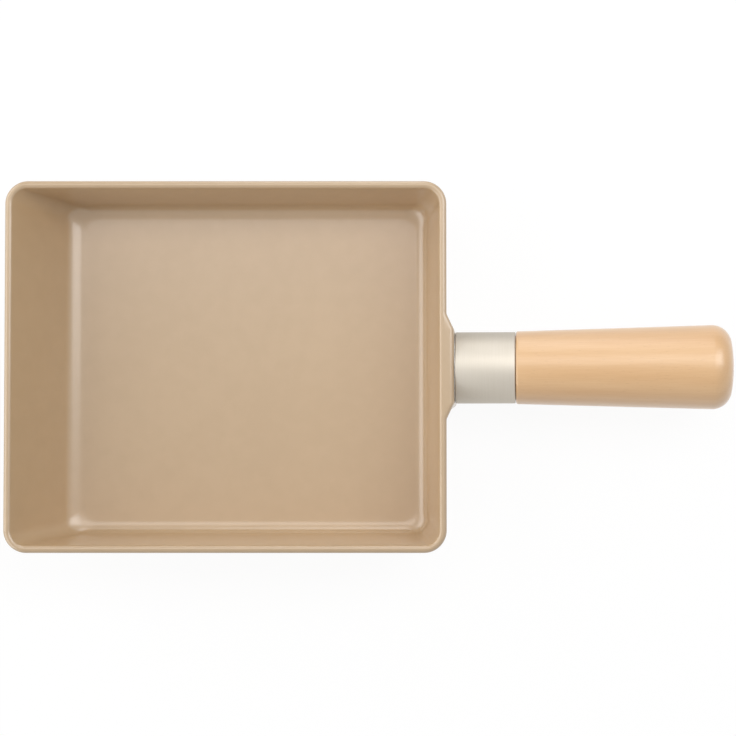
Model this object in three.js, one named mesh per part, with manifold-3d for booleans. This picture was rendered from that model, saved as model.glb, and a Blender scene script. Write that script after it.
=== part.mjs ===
// Rectangular omelette pan: a coated casting with one long sloped wall, a steel plate under it,
// and a turned wooden grip that a tie bolt pulls through a metal ferrule onto the casting.
// Millimetres, +Z up. The origin is the middle of the plate's underside, on the hob.
// The handle runs along +X and the sloped wall faces -X.

import * as THREE from 'three';
import { mergeVertices } from 'three/addons/utils/BufferGeometryUtils.js';
import Module from 'manifold-3d';

const wasm = await Module();
wasm.setup();

// Casting, measured at the outermost line of its rim
const RIM_LENGTH = 180;
const RIM_WIDTH = 151.5;
const RIM_CORNER = 9.3;
const PAN_HEIGHT = 38;
const WALL = 3.2;
const FLOOR = 4.2;
const FLOOR_CORNER = 7;
const SIDE_DRAFT = THREE.MathUtils.degToRad(8);
const SIDE_FILLET = 5.6;
const FRONT_DRAFT = THREE.MathUtils.degToRad(33);
const FRONT_FILLET = 11;

// Handle pad on the back wall
const PAD_REACH = 4;
const PAD_FLARE = 7.2;
const PAD_FLARE_EASE = 0.12;
const PAD_EDGE = 1.8;
const PAD_LAND = 0.8;
const PAD_UNDER_SLOPE = THREE.MathUtils.degToRad(20);
const TAP_DEPTH = 5;

// Register that centres the ferrule on the pad, and the tapped neck beyond it
const REGISTER_LENGTH = 5;
const NECK_DIAMETER = 13;
const NECK_GAP = 2;

// Steel plate, and the keys of the casting that fill its holes
const PLATE_THICKNESS = 1.2;
const PLATE_PROUD = 0.5;
const PLATE_MARGIN = 6;
const PLATE_CORNER = 12;
const PLATE_HOLE = 5;
const PLATE_HOLE_PITCH = 13;
const PLATE_HOLE_EDGE = 5;
const KEY_SINK = 0.2;
const KEY_ROOT = 1;

// Handle
const HANDLE_RISE = THREE.MathUtils.degToRad(4);
const FERRULE_BELOW_RIM = 0.8;
const FERRULE_DIAMETER = 29.4;
const FERRULE_WALL = 1.2;
const FERRULE_LENGTH = 24.5;
const FERRULE_EDGE = 0.4;
const GRIP_FRONT_DIAMETER = 30;
const GRIP_END_DIAMETER = 34.5;
const GRIP_LENGTH = 88.8;
const GRIP_FRONT_EDGE = 0.8;
const GRIP_END_ROUND = 8;
const GRIP_END_CROWN = THREE.MathUtils.degToRad(10);
const TENON_LENGTH = 12;
const TENON_CHAMFER = 1;
const COUNTERBORE_CLEARANCE = 0.5;
const COUNTERBORE_DEPTH = 31;
const PLUG_LENGTH = 12;
const PLUG_CHAMFER = 0.8;

// M6 fasteners
const BOLT_DIAMETER = 6;
const BOLT_TIP_GAP = 0.8;
const BOLT_POINT = 1;
const BOLT_HEAD_DIAMETER = 10;
const BOLT_HEAD_HEIGHT = 6;
const BOLT_HEAD_CHAMFER = 0.6;
const SOCKET_ACROSS_FLATS = 5;
const SOCKET_DEPTH = 3;
const WASHER_DIAMETER = 12;
const WASHER_THICKNESS = 1.6;
const LOCK_WASHER_DIAMETER = 11.8;
const LOCK_WASHER_THICKNESS = 1.6;
const LOCK_WASHER_SPLIT = 1.2;
const LOCK_WASHER_SLANT = THREE.MathUtils.degToRad(12);

// Gap between pieces that touch or fit into each other
const FIT_GAP = 0.3;

// Fineness of the facets
const CORNER_STEPS = 6;
const FILLET_STEPS = 6;
const CREST_STEPS = 8;
const PAD_EDGE_STEPS = 3;
const PAD_FLANK_STEPS = 5;
const TURNED_SIDES = 40;
const SMALL_SIDES = 20;
const PLATE_CORNER_STEPS = 4;
const GRIP_ARC_STEPS = 8;
const CROWN_STEPS = 3;
const LOCK_WASHER_STEPS = 16;
const WELD = 1e-4;

// Heights and places that follow from the sizes above
const QUARTER = Math.PI / 2;
const crestRadius = WALL / 2;
const crestHeight = PAN_HEIGHT - crestRadius;
const floorTop = PLATE_PROUD + FLOOR;
const sideProfile = wallProfile(SIDE_DRAFT, SIDE_FILLET);
const frontProfile = wallProfile(FRONT_DRAFT, FRONT_FILLET);
const flatLength = RIM_LENGTH - frontProfile[0].offset - sideProfile[0].offset;
const flatWidth = RIM_WIDTH - 2 * sideProfile[0].offset;
const rimFront = -flatLength / 2 - frontProfile[0].offset;
const rimBack = flatLength / 2 + sideProfile[0].offset;
const plateLength = flatLength - 2 * PLATE_MARGIN;
const plateWidth = flatWidth - 2 * PLATE_MARGIN;

const padFaceX = rimBack + PAD_REACH;
const handleHeight = PAN_HEIGHT - FERRULE_BELOW_RIM - FERRULE_DIAMETER / 2;
const ferruleBore = FERRULE_DIAMETER - 2 * FERRULE_WALL;
const registerDiameter = ferruleBore - 2 * FIT_GAP;
const tapDiameter = BOLT_DIAMETER + 2 * FIT_GAP;
const widestFastener = Math.max(WASHER_DIAMETER, LOCK_WASHER_DIAMETER, BOLT_HEAD_DIAMETER);
const counterbore = widestFastener + 2 * COUNTERBORE_CLEARANCE;

// Places along the handle's axis, counted from the pad's face
const ferruleStart = FIT_GAP;
const ferruleEnd = ferruleStart + FERRULE_LENGTH;
const gripShoulder = ferruleEnd + FIT_GAP;
const tenonStart = gripShoulder - TENON_LENGTH;
const neckEnd = tenonStart - NECK_GAP;
const gripEnd = gripShoulder + GRIP_LENGTH;
const boltSeat = gripEnd - COUNTERBORE_DEPTH;
const washerStart = boltSeat + FIT_GAP;
const lockWasherStart = washerStart + WASHER_THICKNESS + FIT_GAP;
const headStart = lockWasherStart + LOCK_WASHER_THICKNESS + FIT_GAP;
const headEnd = headStart + BOLT_HEAD_HEIGHT;
const boltTip = BOLT_TIP_GAP - TAP_DEPTH;
const plugStart = gripEnd - PLUG_LENGTH;

// Finishes
const coatedCasting = new THREE.MeshStandardMaterial({ color: 0xc2a982, roughness: 0.5, metalness: 0.1 });
const plateSteel = new THREE.MeshStandardMaterial({ color: 0xb9b8b4, roughness: 0.4, metalness: 0.9 });
const satinMetal = new THREE.MeshStandardMaterial({ color: 0xdccfbb, roughness: 0.35, metalness: 0.9 });
const beech = new THREE.MeshStandardMaterial({ color: 0xe6c095, roughness: 0.6, metalness: 0 });
const zincSteel = new THREE.MeshStandardMaterial({ color: 0xa9abad, roughness: 0.35, metalness: 0.9 });

// Points of an arc as { offset, z } pairs; at angle 0 it faces out of the pan, at 90 degrees up.
function profileArc(offset, z, radius, from, to, steps) {
  return Array.from({ length: steps + 1 }, (_, i) => {
    const angle = THREE.MathUtils.lerp(from, to, i / steps);
    return { offset: offset - radius * Math.cos(angle), z: z + radius * Math.sin(angle) };
  });
}

// Section through one wall: round foot outside, bull-nosed rim, and fillet to the floor inside.
// Each point holds its offset inward from the outermost line of the rim, and its height.
function wallProfile(draft, fillet) {
  const axisOffset = (z) =>
    crestRadius + (fillet + crestRadius - (z - crestHeight) * Math.sin(draft)) / Math.cos(draft);
  const footHeight = PLATE_PROUD + fillet + WALL;
  const filletHeight = floorTop + fillet;
  return [
    ...profileArc(axisOffset(footHeight), footHeight, fillet + WALL, -QUARTER, -draft, FILLET_STEPS),
    ...profileArc(crestRadius, crestHeight, crestRadius, -draft, Math.PI - draft, CREST_STEPS),
    ...profileArc(axisOffset(filletHeight), filletHeight, fillet, -draft, -QUARTER, FILLET_STEPS),
  ];
}

// Corner radius in plan at each point of a wall section.
function cornerRadii() {
  const last = sideProfile.length - 1;
  return sideProfile.map((point, i) => {
    if (i <= FILLET_STEPS) {
      return THREE.MathUtils.lerp(FLOOR_CORNER + WALL, RIM_CORNER, i / FILLET_STEPS);
    }
    if (i >= last - FILLET_STEPS) {
      return THREE.MathUtils.lerp(FLOOR_CORNER, RIM_CORNER - WALL, (last - i) / FILLET_STEPS);
    }
    return RIM_CORNER - point.offset;
  });
}

// Outward reach of the pad's face at a height; the face is square to the rising handle.
function padFace(z) {
  return PAD_REACH - (z - handleHeight) * Math.tan(HANDLE_RISE);
}

// Section through the pad: it grows out of the wall's round foot, and its top is flush with the rim.
function padProfile() {
  const landEnd = handleHeight - FERRULE_DIAMETER / 2 - PAD_LAND;
  const underOffset = PAD_EDGE * Math.cos(HANDLE_RISE) - padFace(landEnd);
  const underHeight = landEnd - PAD_EDGE * Math.sin(HANDLE_RISE);
  const under = profileArc(
    underOffset, underHeight, PAD_EDGE, PAD_UNDER_SLOPE - QUARTER, HANDLE_RISE, PAD_EDGE_STEPS);
  const topHeight = PAN_HEIGHT - PAD_EDGE;
  const topOffset = PAD_EDGE / Math.cos(HANDLE_RISE) - padFace(topHeight);
  const top = profileArc(topOffset, topHeight, PAD_EDGE, HANDLE_RISE, QUARTER, PAD_EDGE_STEPS);
  const profile = [...sideProfile];
  profile.splice(FILLET_STEPS - PAD_EDGE_STEPS, under.length, ...under);
  profile.splice(FILLET_STEPS + 1, top.length, ...top);
  return profile;
}

// Straight ramp from 0 to 1 with an eased start and end.
function easedRamp(along) {
  const ease = PAD_FLARE_EASE;
  const toEnd = Math.min(along, 1 - along);
  const rise = toEnd < ease ? toEnd ** 2 / (2 * ease) : toEnd - ease / 2;
  return along < 0.5 ? rise / (1 - ease) : 1 - rise / (1 - ease);
}

// Stations across the back wall, each with the share of the pad that it holds.
function padStations() {
  const half = FERRULE_DIAMETER / 2;
  const flank = Array.from({ length: PAD_FLANK_STEPS + 1 }, (_, i) => {
    const along = i / PAD_FLANK_STEPS;
    return { y: half + PAD_FLARE * (1 - along), share: easedRamp(along) };
  });
  const mirrored = flank.map(({ y, share }) => ({ y: -y, share }));
  return [...mirrored, { y: 0, share: 1 }, ...flank.reverse()];
}

// Closed skin through rings with equal counts of points, with a flat cap at each end.
function loft(rings) {
  const count = rings[0].length;
  const points = rings.flat();
  const capCentre = (ring) => {
    const box = new THREE.Box3().setFromPoints(ring);
    return points.push(box.getCenter(new THREE.Vector3())) - 1;
  };
  const firstCentre = capCentre(rings[0]);
  const lastCentre = capCentre(rings.at(-1));
  const lastStart = (rings.length - 1) * count;
  const index = [];
  for (let i = 0; i < count; i += 1) {
    const next = (i + 1) % count;
    index.push(firstCentre, next, i);
    index.push(lastCentre, lastStart + i, lastStart + next);
    for (let start = 0; start < lastStart; start += count) {
      index.push(start + i, start + next, start + count + next);
      index.push(start + i, start + count + next, start + count + i);
    }
  }
  return new THREE.BufferGeometry().setFromPoints(points).setIndex(index);
}

// Rings of the casting, from the underside over the rim to the floor, each counted
// anticlockwise from the back wall's -Y corner.
function castingRings() {
  const radii = cornerRadii();
  const pad = padProfile();
  const stations = padStations();
  return sideProfile.map((side, i) => {
    const front = frontProfile[i];
    const radius = radii[i];
    const halfWidth = RIM_WIDTH / 2 - side.offset;
    const backX = rimBack - side.offset;
    const frontX = rimFront + front.offset;
    const corner = (x, y, quarter) =>
      Array.from({ length: CORNER_STEPS + 1 }, (_, step) => {
        const angle = (quarter + step / CORNER_STEPS) * QUARTER;
        const frontShare = THREE.MathUtils.smoothstep(-Math.cos(angle), 0, 1);
        return new THREE.Vector3(
          x + radius * Math.cos(angle),
          y + radius * Math.sin(angle),
          THREE.MathUtils.lerp(side.z, front.z, frontShare),
        );
      });
    const padPoints = stations.map(({ y, share }) => new THREE.Vector3(
      THREE.MathUtils.lerp(backX, rimBack - pad[i].offset, share),
      y,
      THREE.MathUtils.lerp(side.z, pad[i].z, share),
    ));
    return [
      ...corner(backX - radius, radius - halfWidth, 3),
      ...padPoints,
      ...corner(backX - radius, halfWidth - radius, 0),
      ...corner(frontX + radius, halfWidth - radius, 1),
      ...corner(frontX + radius, radius - halfWidth, 2),
    ];
  });
}

// Closed solid from a geometry, with shared corners joined and collapsed triangles dropped.
function solidOf(geometry) {
  const bare = geometry.clone();
  bare.deleteAttribute('normal');
  bare.deleteAttribute('uv');
  const welded = mergeVertices(bare, WELD);
  const corners = welded.index.array;
  const triangles = [];
  for (let i = 0; i < corners.length; i += 3) {
    const [a, b, c] = corners.slice(i, i + 3);
    if (a !== b && b !== c && c !== a) {
      triangles.push(a, b, c);
    }
  }
  return new wasm.Manifold(new wasm.Mesh({
    numProp: 3,
    vertProperties: new Float32Array(welded.attributes.position.array),
    triVerts: new Uint32Array(triangles),
  }));
}

// Faceted geometry of a solid.
function geometryOf(solid) {
  const mesh = solid.getMesh();
  const geometry = new THREE.BufferGeometry();
  geometry.setAttribute('position', new THREE.BufferAttribute(mesh.vertProperties, 3));
  geometry.setIndex(new THREE.BufferAttribute(mesh.triVerts, 1));
  const faceted = geometry.toNonIndexed();
  faceted.computeVertexNormals();
  return faceted;
}

// Solid of revolution about +X from a closed outline of [along, radius] points.
function turned(outline, sides) {
  const points = [...outline, outline[0]].map(([along, radius]) => new THREE.Vector2(radius, along));
  return new THREE.LatheGeometry(points, sides).rotateZ(-QUARTER);
}

// Plain rod about +X.
function rod(start, end, diameter, sides) {
  const radius = diameter / 2;
  return turned([[start, 0], [start, radius], [end, radius], [end, 0]], sides);
}

// Outline of a rectangle with round corners, centred on the origin.
function roundedRectangle(length, width, radius) {
  const x = length / 2 - radius;
  const y = width / 2 - radius;
  return new THREE.Shape()
    .absarc(x, y, radius, 0, QUARTER)
    .absarc(-x, y, radius, QUARTER, 2 * QUARTER)
    .absarc(-x, -y, radius, 2 * QUARTER, 3 * QUARTER)
    .absarc(x, -y, radius, 3 * QUARTER, 4 * QUARTER)
    .closePath();
}

// Straight extrusion of a shape between two heights.
function extruded(shape, bottom, top) {
  const options = { depth: top - bottom, bevelEnabled: false, curveSegments: PLATE_CORNER_STEPS };
  return new THREE.ExtrudeGeometry(shape, options).translate(0, 0, bottom);
}

// Centres of the plate's holes: staggered rows that keep clear of its edge and of its middle.
function plateHoles() {
  const rowPitch = PLATE_HOLE_PITCH * Math.sin(Math.PI / 3);
  const reach = PLATE_HOLE / 2 + PLATE_HOLE_EDGE;
  const innerX = plateLength / 2 - reach;
  const innerY = plateWidth / 2 - reach;
  const clearCorner = Math.max(PLATE_CORNER - reach, 0);
  const inside = (x, y) => {
    const cornerX = Math.max(Math.abs(x) - innerX + clearCorner, 0);
    const cornerY = Math.max(Math.abs(y) - innerY + clearCorner, 0);
    const withinSides = Math.abs(x) <= innerX && Math.abs(y) <= innerY;
    return withinSides && Math.hypot(cornerX, cornerY) <= Math.max(clearCorner, WELD);
  };
  const rows = Math.ceil(innerY / rowPitch);
  const columns = Math.ceil(innerX / PLATE_HOLE_PITCH);
  const centres = [];
  for (let row = -rows; row <= rows; row += 1) {
    const stagger = row % 2 === 0 ? PLATE_HOLE_PITCH / 2 : 0;
    for (let column = -columns; column <= columns; column += 1) {
      const x = column * PLATE_HOLE_PITCH + stagger;
      const y = row * rowPitch;
      if (inside(x, y)) {
        centres.push({ x, y });
      }
    }
  }
  return centres;
}

// Carries a geometry from the handle's axis, where it lies along +X, to its place on the pan.
function onHandle(geometry) {
  return geometry.rotateY(-HANDLE_RISE).translate(padFaceX, 0, handleHeight);
}

function panBody() {
  const plateSeat = PLATE_THICKNESS + FIT_GAP;
  const recess = roundedRectangle(
    plateLength + 2 * FIT_GAP, plateWidth + 2 * FIT_GAP, PLATE_CORNER + FIT_GAP);
  let casting = solidOf(loft(castingRings())).subtract(solidOf(extruded(recess, 0, plateSeat)));
  for (const { x, y } of plateHoles()) {
    const key = new THREE.Shape().absarc(x, y, PLATE_HOLE / 2 - FIT_GAP, 0, 4 * QUARTER);
    casting = casting.add(solidOf(extruded(key, KEY_SINK, plateSeat + KEY_ROOT)));
  }
  const root = -PAD_REACH / 2;
  return casting
    .add(solidOf(onHandle(rod(root, REGISTER_LENGTH, registerDiameter, TURNED_SIDES))))
    .add(solidOf(onHandle(rod(root, neckEnd, NECK_DIAMETER, TURNED_SIDES))))
    .subtract(solidOf(onHandle(rod(-TAP_DEPTH, neckEnd + FIT_GAP, tapDiameter, SMALL_SIDES))));
}

function inductionPlate() {
  const outline = roundedRectangle(plateLength, plateWidth, PLATE_CORNER);
  for (const { x, y } of plateHoles()) {
    outline.holes.push(new THREE.Path().absarc(x, y, PLATE_HOLE / 2, 0, 4 * QUARTER));
  }
  return solidOf(extruded(outline, 0, PLATE_THICKNESS));
}

function ferrule() {
  const outer = FERRULE_DIAMETER / 2;
  const inner = ferruleBore / 2;
  return solidOf(turned([
    [ferruleStart, inner],
    [ferruleStart, outer - FERRULE_EDGE],
    [ferruleStart + FERRULE_EDGE, outer],
    [ferruleEnd - FERRULE_EDGE, outer],
    [ferruleEnd, outer - FERRULE_EDGE],
    [ferruleEnd, inner],
  ], TURNED_SIDES));
}

// Points of an arc in a turned outline; at angle 0 it faces away from the axis, at 90 degrees along it.
function turnedArc(along, radius, round, from, to, steps) {
  return Array.from({ length: steps + 1 }, (_, i) => {
    const angle = THREE.MathUtils.lerp(from, to, i / steps);
    return [along + round * Math.sin(angle), radius + round * Math.cos(angle)];
  });
}

// The grip's end is a shallow crown that runs smoothly into the round of its edge.
function gripCrown() {
  const roundAxis = GRIP_END_DIAMETER / 2 - GRIP_END_ROUND;
  const rim = roundAxis + GRIP_END_ROUND * Math.sin(GRIP_END_CROWN);
  const curve = Math.tan(GRIP_END_CROWN) / (2 * rim);
  const height = (radius) => gripEnd - curve * radius ** 2;
  return { roundAxis, rim, height };
}

// Points of the crown between two radii.
function crownPoints(from, to) {
  const { height } = gripCrown();
  return Array.from({ length: CROWN_STEPS + 1 }, (_, i) => {
    const radius = THREE.MathUtils.lerp(from, to, i / CROWN_STEPS);
    return [height(radius), radius];
  });
}

function grip() {
  const { roundAxis, rim, height } = gripCrown();
  const bore = tapDiameter / 2;
  const tenon = registerDiameter / 2;
  const front = GRIP_FRONT_DIAMETER / 2;
  const hole = counterbore / 2;
  const roundStart = height(rim) - GRIP_END_ROUND * Math.cos(GRIP_END_CROWN);
  const taper = Math.atan2(GRIP_END_DIAMETER / 2 - front, roundStart - gripShoulder);
  const frontEdge = turnedArc(
    gripShoulder + GRIP_FRONT_EDGE, front - GRIP_FRONT_EDGE, GRIP_FRONT_EDGE,
    -QUARTER, -taper, PAD_EDGE_STEPS);
  const endRound = turnedArc(
    roundStart, roundAxis, GRIP_END_ROUND, -taper, QUARTER - GRIP_END_CROWN, GRIP_ARC_STEPS);
  return solidOf(turned([
    [tenonStart, bore],
    [tenonStart, tenon - TENON_CHAMFER],
    [tenonStart + TENON_CHAMFER, tenon],
    [gripShoulder, tenon],
    ...frontEdge,
    ...endRound,
    ...crownPoints(rim, hole).slice(1),
    [boltSeat, hole],
    [boltSeat, bore],
  ], TURNED_SIDES));
}

function endPlug() {
  const radius = counterbore / 2 - FIT_GAP;
  return solidOf(turned([
    [plugStart, 0],
    [plugStart, radius - PLUG_CHAMFER],
    [plugStart + PLUG_CHAMFER, radius],
    ...crownPoints(radius, 0),
  ], SMALL_SIDES));
}

function tieBolt() {
  const shank = BOLT_DIAMETER / 2;
  const head = BOLT_HEAD_DIAMETER / 2;
  const blank = solidOf(turned([
    [boltTip, 0],
    [boltTip, shank - BOLT_POINT],
    [boltTip + BOLT_POINT, shank],
    [headStart, shank],
    [headStart, head],
    [headEnd - BOLT_HEAD_CHAMFER, head],
    [headEnd, head - BOLT_HEAD_CHAMFER],
    [headEnd, 0],
  ], SMALL_SIDES));
  const socketDiameter = SOCKET_ACROSS_FLATS / Math.cos(Math.PI / 6);
  return blank.subtract(solidOf(rod(headEnd - SOCKET_DEPTH, headEnd + FIT_GAP, socketDiameter, 6)));
}

function flatWasher() {
  const end = washerStart + WASHER_THICKNESS;
  const outer = WASHER_DIAMETER / 2;
  const inner = tapDiameter / 2;
  return solidOf(turned(
    [[washerStart, inner], [washerStart, outer], [end, outer], [end, inner]], SMALL_SIDES));
}

// Split ring, pressed flat; its cut leans across the thickness.
function lockWasher() {
  const outer = LOCK_WASHER_DIAMETER / 2;
  const inner = tapDiameter / 2;
  const halfSplit = LOCK_WASHER_SPLIT / (outer + inner);
  const shape = new THREE.Shape()
    .absarc(0, 0, outer, halfSplit, 4 * QUARTER - halfSplit)
    .absarc(0, 0, inner, 4 * QUARTER - halfSplit, halfSplit, true)
    .closePath();
  const options = { depth: LOCK_WASHER_THICKNESS, bevelEnabled: false, curveSegments: LOCK_WASHER_STEPS };
  const ring = new THREE.ExtrudeGeometry(shape, options);
  const place = ring.attributes.position;
  const point = new THREE.Vector3();
  const axis = new THREE.Vector3(0, 0, 1);
  for (let i = 0; i < place.count; i += 1) {
    point.fromBufferAttribute(place, i);
    point.applyAxisAngle(axis, LOCK_WASHER_SLANT * (point.z / LOCK_WASHER_THICKNESS));
    place.setXYZ(i, point.x, point.y, point.z);
  }
  return solidOf(ring.rotateY(QUARTER).translate(lockWasherStart, 0, 0));
}

function piece(name, solid, material) {
  const mesh = new THREE.Mesh(geometryOf(solid), material);
  mesh.name = name;
  return mesh;
}

const handle = new THREE.Group();
handle.position.set(padFaceX, 0, handleHeight);
handle.rotation.y = -HANDLE_RISE;
handle.add(
  piece('ferrule', ferrule(), satinMetal),
  piece('grip', grip(), beech),
  piece('tie_bolt', tieBolt(), zincSteel),
  piece('flat_washer', flatWasher(), zincSteel),
  piece('lock_washer', lockWasher(), zincSteel),
  piece('end_plug', endPlug(), beech),
);

const omelettePan = new THREE.Group();
omelettePan.add(
  piece('pan_body', panBody(), coatedCasting),
  piece('induction_plate', inductionPlate(), plateSteel),
  handle,
);

export default omelettePan;
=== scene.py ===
"""Looks of a rectangular omelette pan.

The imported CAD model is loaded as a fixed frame, and each of its pieces is rebuilt here as a finer mesh
with its own finish: a casting in a satin coating, a brushed steel plate set into its underside, and a
turned beech grip that a tie bolt pulls through a satin ferrule onto the casting. Metres, +Z up; the
handle runs along +X and the sloped wall faces -X.
"""

import logging
import math
from dataclasses import dataclass
from enum import Enum
from typing import Iterable, Sequence

import bmesh
import bpy
import numpy as np
from mathutils import Matrix, Vector
from mathutils.geometry import delaunay_2d_cdt


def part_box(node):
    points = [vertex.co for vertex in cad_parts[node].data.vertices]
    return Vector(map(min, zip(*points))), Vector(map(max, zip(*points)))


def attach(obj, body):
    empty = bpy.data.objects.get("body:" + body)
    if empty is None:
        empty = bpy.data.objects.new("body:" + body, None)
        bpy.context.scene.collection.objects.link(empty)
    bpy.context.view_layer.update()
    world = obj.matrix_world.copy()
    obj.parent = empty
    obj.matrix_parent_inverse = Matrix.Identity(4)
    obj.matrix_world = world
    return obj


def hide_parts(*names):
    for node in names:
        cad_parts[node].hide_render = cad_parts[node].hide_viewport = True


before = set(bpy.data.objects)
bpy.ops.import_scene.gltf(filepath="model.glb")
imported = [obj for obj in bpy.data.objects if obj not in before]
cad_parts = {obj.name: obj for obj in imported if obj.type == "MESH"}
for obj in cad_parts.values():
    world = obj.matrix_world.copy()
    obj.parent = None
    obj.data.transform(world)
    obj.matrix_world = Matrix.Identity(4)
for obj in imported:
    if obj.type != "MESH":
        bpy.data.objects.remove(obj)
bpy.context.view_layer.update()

LOG = logging.getLogger("omelette_pan")
MM = 0.001
QUARTER = math.pi / 2
FIT_GAP = 0.3 * MM
# Points closer than this count as one
HAIR = 0.001 * MM
# Kind of flat fill that keeps what lies inside the outline
FILL_INSIDE = 1
# Stretch that most of a noise keeps within
NOISE_RANGE = (0.3, 0.7)
FULL_RANGE = (0.0, 1.0)
# Angle in degrees from which an edge stays sharp, for a piece without an angle of its own
CREASE = 30.0
HEXAGON = 6
# Colour sockets of a Mix node, whose other sockets have the same names
MIX_FIRST = 6
MIX_SECOND = 7
MIX_RESULT = 2
BODY = "root"

Colour = tuple[float, float, float, float]
Range = tuple[float, float]
Triple = tuple[float, float, float]
Outline = list[tuple[float, float]]
Socket = bpy.types.NodeSocket
Piece = bpy.types.Object


def card(red: int, green: int, blue: int) -> Colour:
    """Mix a linear colour from a shade on a 0 to 255 colour card, by the sRGB curve.

    Args:
        red: Red of the shade.
        green: Green of the shade.
        blue: Blue of the shade.

    Returns:
        The shade as linear red, green, blue and full opacity.
    """
    levels = np.array([red, green, blue]) / 255
    linear = np.where(levels <= 0.04045, levels / 12.92, ((levels + 0.055) / 1.055) ** 2.4)
    return (*linear.tolist(), 1.0)


def grey(level: float) -> Colour:
    """Grey of an even linear level, with full opacity."""
    return (level, level, level, 1.0)


def smoothstep(share: float) -> float:
    """Ease a share between 0 and 1 so that it starts and ends level."""
    held = min(max(share, 0.0), 1.0)
    return held * held * (3 - 2 * held)


class Cut(Enum):
    """How a tool shape works on a piece."""

    JOIN = "UNION"
    REMOVE = "DIFFERENCE"


class Brushing(Enum):
    """Run of the brush lines on a metal, as the fineness of its noise along X, Y and Z."""

    ALONG_X = (0.02, 1.0, 1.0)
    AROUND_X = (1.0, 0.03, 0.03)


class Skin:
    """Points and faces of one piece, gathered ring by ring."""

    def __init__(self) -> None:
        """Start without points."""
        self.points: list[Triple] = []
        self.faces: list[list[int]] = []

    def ring(self, points: Iterable[Sequence[float]]) -> list[int]:
        """Add the points of a ring.

        Args:
            points: Places of the ring's points.

        Returns:
            The numbers of the new points.
        """
        start = len(self.points)
        self.points.extend(tuple(float(value) for value in point) for point in points)
        return list(range(start, len(self.points)))

    def strip(self, first: list[int], second: list[int]) -> None:
        """Join two rings with faces; either ring may be a single point.

        Args:
            first: Ring on the left of the faces' outer side, looking along the ring.
            second: Ring on the other side.
        """
        count = max(len(first), len(second))
        for here in range(count):
            after = (here + 1) % count
            corners = (
                first[here % len(first)],
                first[after % len(first)],
                second[after % len(second)],
                second[here % len(second)],
            )
            self.faces.append(list(dict.fromkeys(corners)))

    def cap(self, ring: list[int], turned_over: bool = False) -> None:
        """Close a ring with one flat face; turned_over makes the face look the other way."""
        self.faces.append(ring[::-1] if turned_over else ring)

    def fill(self, loops: list[list[int]], turned_over: bool = False) -> None:
        """Fill a flat outline with triangles, round the holes in it.

        Args:
            loops: Ring of the outline, then the rings of the round holes.
            turned_over: Whether the faces look down and not up.
        """
        numbers = []
        edges = []
        for loop in loops:
            start = len(numbers)
            numbers.extend(loop)
            edges.extend((start + here, start + (here + 1) % len(loop)) for here in range(len(loop)))
        flat = [Vector(self.points[number][:2]) for number in numbers]
        holes = {number: hole for hole, loop in enumerate(loops[1:]) for number in loop}
        _, _, faces, origins, _, _ = delaunay_2d_cdt(flat, edges, [], FILL_INSIDE, HAIR)
        for face in faces:
            corners = [numbers[origins[corner][0]] for corner in face]
            touched = {holes.get(number) for number in corners}
            if len(touched) > 1 or None in touched:
                self.cap(corners, turned_over)

    def piece(self, name: str, crease: float = CREASE) -> Piece:
        """Make the piece, smooth apart from its creases.

        Args:
            name: Name of the piece.
            crease: Angle in degrees from which an edge stays sharp.

        Returns:
            The new object.
        """
        mesh = bpy.data.meshes.new(name)
        mesh.from_pydata(self.points, [], self.faces)
        return piece_of(name, mesh, crease)


def piece_of(name: str, mesh: bpy.types.Mesh, crease: float = CREASE) -> Piece:
    """Put a mesh into the scene.

    Args:
        name: Name of the piece.
        mesh: Mesh of the piece.
        crease: Angle in degrees from which an edge stays sharp.

    Returns:
        The new object.
    """
    mesh.name = name
    shade(mesh, crease)
    piece = bpy.data.objects.new(name, mesh)
    bpy.context.scene.collection.objects.link(piece)
    return piece


def shade(mesh: bpy.types.Mesh, crease: float) -> None:
    """Smooth a mesh apart from the edges that turn by more than the crease angle in degrees."""
    mesh.validate()
    mesh.shade_smooth()
    mesh.set_sharp_from_angle(angle=math.radians(crease))


def weld(mesh: bpy.types.Mesh) -> None:
    """Join the points of a mesh that lie within a hair of each other."""
    points = bmesh.new()
    points.from_mesh(mesh)
    bmesh.ops.remove_doubles(points, verts=points.verts, dist=HAIR)
    points.to_mesh(mesh)
    points.free()


def work(piece: Piece, tool: Piece, cut: Cut, crease: float = CREASE) -> None:
    """Join a tool shape to a piece or cut it away, then remove the tool.

    Args:
        piece: Piece that is worked on.
        tool: Tool shape.
        cut: Whether the tool is joined or removed.
        crease: Angle in degrees from which an edge stays sharp.
    """
    step = piece.modifiers.new("work", "BOOLEAN")
    step.operation = cut.value
    step.solver = "EXACT"
    step.object = tool
    graph = bpy.context.evaluated_depsgraph_get()
    shaped = bpy.data.meshes.new_from_object(piece.evaluated_get(graph))
    blank = piece.data
    piece.modifiers.clear()
    piece.data = shaped
    shaped.name = piece.name
    weld(shaped)
    shade(shaped, crease)
    bpy.data.meshes.remove(blank)
    bpy.data.meshes.remove(tool.data)


def turned(name: str, outline: Outline, sides: int, crease: float = CREASE) -> Piece:
    """Turn an outline about the local X axis.

    Args:
        name: Name of the piece.
        outline: Points along and away from the axis. The outline closes on itself unless it starts and
            ends on the axis.
        sides: Facets round the axis.
        crease: Angle in degrees from which an edge stays sharp.

    Returns:
        The turned piece, on the local axis.
    """
    skin = Skin()
    angles = np.linspace(0, 4 * QUARTER, sides, endpoint=False)
    rings = []
    for along, radius in outline:
        spread = angles if radius > 0 else angles[:1]
        rings.append(skin.ring((along, radius * math.cos(a), radius * math.sin(a)) for a in spread))
    for first, second in zip(rings, rings[1:]):
        skin.strip(first, second)
    if len(rings[0]) > 1:
        skin.strip(rings[-1], rings[0])
    return skin.piece(name, crease)


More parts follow.
